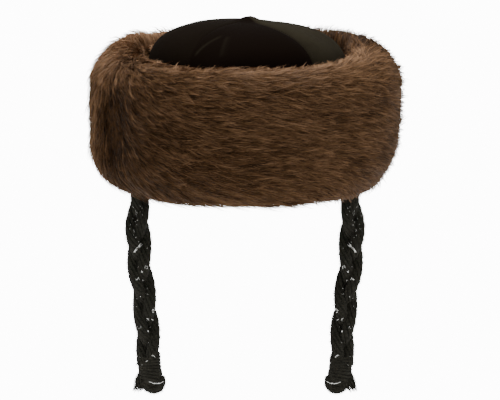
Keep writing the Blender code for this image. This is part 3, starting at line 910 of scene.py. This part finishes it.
def lay_fuzz(chance, roots, outward, ahead, count):
    """Short loose fibres that stand off the yarn, each at a random one of the roots."""
    pick = chance.integers(0, len(roots), count)
    away = outward[pick] + 0.9 * ahead[pick] * chance.normal(0.0, 1.0, (count, 1))
    away += chance.normal(0.0, 0.45, (count, 3))
    away /= np.linalg.norm(away, axis=1, keepdims=True)
    length = chance.uniform(*FUZZ_LENGTH, count)[:, None, None]
    steps = np.array([0.0, 0.55, 1.0])[None, :, None]
    droop = np.array([0.0, 0.0, -1.0])[None, None] * length * steps**2 * 0.35
    spine = roots[pick][:, None] + away[:, None] * length * steps + droop
    width = FUZZ_HALF_WIDTH * np.broadcast_to(np.array([1.0, 0.8, 0.0]), (count, 3))
    normal = np.broadcast_to(outward[pick][:, None] + 0.2, spine.shape)
    return strip_arrays(spine, strips_along(spine, normal, width, chance.uniform(-1.5, 1.5, count)))


def lay_painted_glints(chance, side, table, surface):
    """Pale flecks of painted glint from a table, each laid just in front of the yarn's places nearest to the front."""
    sets = []
    for across, height, wide, tall, count, length, half_width, lean in table:
        for _ in range(count):
            x = side * (across + wide * chance.uniform(-1.0, 1.0))
            z = height + tall * chance.uniform(-1.0, 1.0)
            near = surface[np.hypot(surface[:, 0] - x, surface[:, 2] - z) < 0.0014 + 0.4 * length]
            if not len(near):
                continue
            turn = math.radians(lean + chance.uniform(-5.0, 5.0))
            ahead = np.array([-side * math.sin(turn), 0.0, math.cos(turn)]) * length
            middle = np.array([x, near[:, 1].min() - 0.0004, z])
            sets.append((middle + np.linspace(-0.5, 0.5, 4)[:, None] * ahead, half_width))
    spine = np.array([line for line, _ in sets])
    width = np.array([half for _, half in sets])[:, None] * np.array([0.5, 1.0, 0.9, 0.0])
    normal = np.broadcast_to(np.array([0.0, -1.0, 0.0]), spine.shape)
    return strip_arrays(spine, strips_along(spine, normal, width, np.zeros(len(spine))))


def mark_painted_glints(piece, count):
    """Marks a piece's last places as painted glints, for the yarn's material."""
    marks = np.zeros(len(piece.data.vertices), np.float32)
    marks[len(marks) - count:] = 1.0
    layer = piece.data.attributes.new("lint_and_glints", "FLOAT", "POINT")
    layer.data.foreach_set("value", marks)


def joined(groups):
    """Puts several (vertices, loops, sizes) sets together."""
    dots, loops, sizes, start = [], [], [], 0
    for group_dots, group_loops, group_sizes in groups:
        dots.append(group_dots)
        loops.append(group_loops + start)
        sizes.append(group_sizes)
        start += len(group_dots)
    return np.concatenate(dots), np.concatenate(loops), np.concatenate(sizes)


def yarn_material():
    material = bpy.data.materials.new("black_yarn")
    material.use_nodes = True
    nodes, links = material.node_tree.nodes, material.node_tree.links
    shader = nodes["Principled BSDF"]
    set_finish(shader, 0.75, 0.12, sheen=0.02, sheen_roughness=0.4, sheen_tint=(0.8, 0.8, 0.75))
    mottled, _ = object_noise(nodes, links, 700.0, 3.0, 0.6)
    shade = map_range(nodes, links, mottled, 0.30, 0.72)
    yarn = mix_colours(nodes, links, shade, (0.0048, 0.0045, 0.0030), (0.0262, 0.0242, 0.0168))
    # The marked flecks take a near-white colour as painted glints
    glint_marks = nodes.new("ShaderNodeAttribute")
    glint_marks.attribute_name = "lint_and_glints"
    colour = mix_colours(nodes, links, glint_marks.outputs["Fac"], yarn, (0.90, 0.90, 0.86))
    links.new(colour, shader.inputs["Base Color"])
    bumped(nodes, links, shader, mottled, 0.7, 0.0006)
    return material


def make_plait(name, side, chance, material):
    reach = PLAIT_LENGTH - PLAIT_END_LENGTH
    down = np.linspace(0.0, reach, THREAD_STATIONS)
    lines, radii, roots, outward = [], [], [], []
    for number in range(3):
        middle, full = strand_middle(side, number, down)
        for thread in range(THREADS):
            turn = math.tau * (thread / THREADS + down / THREAD_TWIST + 0.13 * number)
            ring = np.stack([THREAD_RING[0] * np.cos(turn), THREAD_RING[1] * np.sin(turn), 0.0 * turn], axis=1)
            lines.append(middle + full[:, None] * ring)
            radii.append(THREAD_RADIUS * full * (1.0 + 0.07 * np.sin(9.0 * turn + thread)))
            roots.append(middle + 1.35 * full[:, None] * ring)
            outward.append(ring / np.linalg.norm(ring, axis=1, keepdims=True))
    lines, radii = np.array(lines), np.array(radii)
    ahead = np.gradient(lines, axis=1)
    ahead /= np.linalg.norm(ahead, axis=2, keepdims=True)
    threads = lay_threads(lines, radii)
    fuzz = lay_fuzz(chance, np.concatenate(roots), np.concatenate(outward), ahead.reshape(-1, 3), FUZZ_HAIRS)
    # Pale flecks of painted glint laid on the yarn
    specks = lay_painted_glints(chance, side, PAINTED_GLINTS, lines.reshape(-1, 3) - np.array([0.0, THREAD_RADIUS, 0.0]))
    plait = mesh_from_arrays(name, *joined([threads, fuzz, specks]), material)
    mark_painted_glints(plait, len(specks[0]))
    path = plait_middle(side, np.linspace(0.0, reach, 40))
    return plait, path


# Plait ends
# Each plait is bound round with its own yarn, and the rest is turned under into a small loop towards the
# head, with a short tuft of loose yarn on the other side.
END_COIL = (
    # shift towards the middle in weave reaches, share of the end's length
    (-0.85, 0.50),
    (-0.45, 0.72),
    (0.10, 0.82),
    (0.75, 0.83),
    (1.35, 0.77),
    (1.60, 0.60),
    (1.40, 0.42),
)
END_PAINTED_GLINTS = (
    # painted glints on the end, the bright crescent of painted highlight under the loop among them; columns as in the
    # plait's table of flecks
    (0.0819, -0.1752, 0.0, 0.0, 1, 0.0036, 0.00022, 112.0),
    (0.0787, -0.1763, 0.0, 0.0, 1, 0.0040, 0.00034, 98.0),
    (0.0752, -0.1764, 0.0, 0.0, 1, 0.0042, 0.00036, 84.0),
    (0.0721, -0.1753, 0.0, 0.0, 1, 0.0034, 0.00024, 64.0),
)
END_TUFT = (
    # shift towards the middle in weave reaches, share of the end's length
    (-0.70, 0.25),
    (-1.15, 0.42),
    (-1.45, 0.62),
    (-1.50, 0.86),
)
BINDING_TURNS = 8
BINDING_REACH = (1.36, 1.06)
BINDING_FROM = -0.30
BINDING_TO = 0.46
BINDING_TILT = 0.0013
COIL_THREADS = 9
COIL_RADIUS = 0.0024
TUFT_THREADS = 8
TUFT_RADIUS = 0.0026


def end_place(side, across, share):
    """A place on the plait's end, from the same table reading as its CAD solid."""
    place = plait_middle(side, np.full_like(np.asarray(across, float), PLAIT_LENGTH - PLAIT_END_LENGTH))
    place[..., 0] -= side * np.asarray(across) * LEAN_UNIT
    place[..., 2] -= np.asarray(share) * PLAIT_END_LENGTH
    return place


def smooth_line(side, table, stations):
    """A smooth curve through a table's places."""
    steps = np.linspace(0.0, len(table) - 1.0, stations)[:, None] + np.linspace(-0.45, 0.45, 7)[None]
    across, share = (np.array(column) for column in zip(*table))
    knots = np.arange(len(table))
    return end_place(side, np.interp(steps, knots, across).mean(1), np.interp(steps, knots, share).mean(1))


def bundle(middle, count, radius, spread, twist, chance):
    """Lines of threads laid round a middle line that lies in the plane facing the front."""
    ahead = np.gradient(middle, axis=0)
    ahead /= np.linalg.norm(ahead, axis=1, keepdims=True)
    back = np.array([0.0, 1.0, 0.0])
    sideways = np.cross(ahead, back)
    at = np.linspace(0.0, 1.0, len(middle))
    lines = []
    for thread in range(count):
        ring = 0.0 if thread == 0 else 1.0
        turn = math.tau * (thread / (count - 1) + twist * at)
        loose = ring * radius * (1.0 + spread * at**2 * chance.uniform(0.3, 1.6))
        lines.append(middle + (loose * np.cos(turn))[:, None] * sideways + (loose * np.sin(turn))[:, None] * back)
    return np.array(lines)


def make_plait_end(name, side, chance, material):
    stations = 40
    core = bmesh.new()
    bmesh.ops.create_icosphere(core, subdivisions=3, radius=1.0)
    size = (1.55 * LEAN_UNIT, 0.95 * LEAN_UNIT, 0.42 * PLAIT_END_LENGTH)
    bmesh.ops.scale(core, vec=size, verts=core.verts)
    bmesh.ops.translate(core, vec=end_place(side, 0.24, 0.34), verts=core.verts)
    core_dots = places_of(core)
    core_loops = np.array([v.index for f in core.faces for v in f.verts])
    core_set = (core_dots, core_loops, np.full(len(core.faces), 3))
    core.free()
    at = np.linspace(0.0, 1.0, 30 * BINDING_TURNS)
    turn = math.tau * BINDING_TURNS * at
    waist = 0.90 + 0.10 * np.sin(math.pi * at) + 0.03 * np.sin(2.3 * turn)
    wound = end_place(side, np.zeros_like(at), BINDING_FROM + (BINDING_TO - BINDING_FROM) * at)
    wound[:, 0] += BINDING_REACH[0] * LEAN_UNIT * waist * np.cos(turn)
    wound[:, 1] += BINDING_REACH[1] * LEAN_UNIT * waist * np.sin(turn)
    wound[:, 2] += BINDING_TILT * np.cos(turn + 3.0 * at)
    binding = lay_threads(wound[None], np.full((1, len(at)), 1.05 * THREAD_RADIUS), upright=(0.0, 0.0, 1.0))
    coil_middle = smooth_line(side, END_COIL, stations)
    coil_lines = bundle(coil_middle, COIL_THREADS, COIL_RADIUS, 0.0, 0.8, chance)
    coil = lay_threads(coil_lines, np.full((COIL_THREADS, stations), 1.15 * THREAD_RADIUS))
    tuft_middle = smooth_line(side, END_TUFT, stations)
    tuft_lines = bundle(tuft_middle, TUFT_THREADS, TUFT_RADIUS, 0.35, 0.4, chance)
    thinning = THREAD_RADIUS * np.linspace(1.1, 0.45, stations)
    tuft = lay_threads(tuft_lines, np.broadcast_to(thinning, (TUFT_THREADS, stations)))
    roots = np.concatenate([wound, coil_lines.reshape(-1, 3), tuft_lines.reshape(-1, 3)])
    centre = end_place(side, 0.3, 0.55)
    outward = roots - centre
    outward /= np.linalg.norm(outward, axis=1, keepdims=True)
    fuzz = lay_fuzz(chance, roots + 0.0010 * outward, outward, np.roll(outward, 1, axis=1), FUZZ_HAIRS // 2)
    surface = np.concatenate([wound, coil_lines.reshape(-1, 3)]) - np.array([0.0, 1.1 * THREAD_RADIUS, 0.0])
    # The crescent of painted highlight under the loop, as pale flecks
    specks = lay_painted_glints(chance, side, END_PAINTED_GLINTS, np.concatenate([surface, core_dots]))
    knot = mesh_from_arrays(name, *joined([core_set, binding, coil, tuft, fuzz, specks]), material)
    mark_painted_glints(knot, len(specks[0]))
    return knot


black_yarn = yarn_material()
for word, side in (("left", -1.0), ("right", 1.0)):
    chance = np.random.default_rng(23)
    plait, path = make_plait(f"plait_{word}", side, chance, black_yarn)
    plait_end = make_plait_end(f"plait_{word}_knot", side, chance, black_yarn)
    for piece in (plait, plait_end):
        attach(piece, "root")
    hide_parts(*(f"plait_{word}_strand_{n}" for n in (1, 2, 3)))
    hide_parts(f"plait_{word}_end")


# Room
# A pale floor below the hanging plaits, a near-white surround, and soft studio lamps above and in front.
FLOOR_HEIGHT = -0.26
FLOOR_RADIUS = 8.0


def bright_to_camera(nodes, links, surface, glow):
    """Lets what the camera sees directly glow nearly white, and leaves the light on the hat as it is."""
    seen = nodes.new("ShaderNodeLightPath")
    white = nodes.new("ShaderNodeEmission")
    white.inputs["Strength"].default_value = glow
    mix = nodes.new("ShaderNodeMixShader")
    links.new(seen.outputs["Is Camera Ray"], mix.inputs[0])
    links.new(surface, mix.inputs[1])
    links.new(white.outputs[0], mix.inputs[2])
    return mix.outputs[0]


def make_floor():
    material = bpy.data.materials.new("pale_floor")
    material.use_nodes = True
    nodes, links = material.node_tree.nodes, material.node_tree.links
    shader = nodes["Principled BSDF"]
    set_finish(shader, 0.9, 0.2)
    shader.inputs["Base Color"].default_value = (0.88, 0.88, 0.875, 1.0)
    links.new(bright_to_camera(nodes, links, shader.outputs[0], 13.0), nodes["Material Output"].inputs["Surface"])
    form = bmesh.new()
    bmesh.ops.create_circle(form, cap_ends=True, segments=96, radius=FLOOR_RADIUS)
    bmesh.ops.translate(form, vec=(0.0, 0.0, FLOOR_HEIGHT), verts=form.verts)
    return piece_from_bmesh("floor", form, material)


make_floor()

LAMPS = (
    # name, place, where it points, size, watts
    ("top_lamp", (-0.20, 0.10, 1.8), (0.0, 0.0, 0.06), 1.5, 92.0),
    ("front_lamp", (0.9, -2.1, 0.5), (0.0, 0.0, 0.0), 1.2, 6.0),
)
for name, place, target, size, watts in LAMPS:
    lamp = bpy.data.lights.new(name, "AREA")
    lamp.shape = "DISK"
    lamp.size = size
    lamp.energy = watts
    lamp_object = bpy.data.objects.new(name, lamp)
    bpy.context.collection.objects.link(lamp_object)
    lamp_object.location = place
    lamp_object.rotation_euler = (Vector(target) - Vector(place)).to_track_quat("-Z", "Y").to_euler()

world = bpy.data.worlds.new("studio")
world.use_nodes = True
sky_nodes, sky_links = world.node_tree.nodes, world.node_tree.links
sky_nodes["Background"].inputs["Color"].default_value = (1.0, 1.0, 1.0, 1.0)
sky_nodes["Background"].inputs["Strength"].default_value = 0.85
sky = bright_to_camera(sky_nodes, sky_links, sky_nodes["Background"].outputs[0], 13.0)
sky_links.new(sky, sky_nodes["World Output"].inputs["Surface"])
bpy.context.scene.world = world
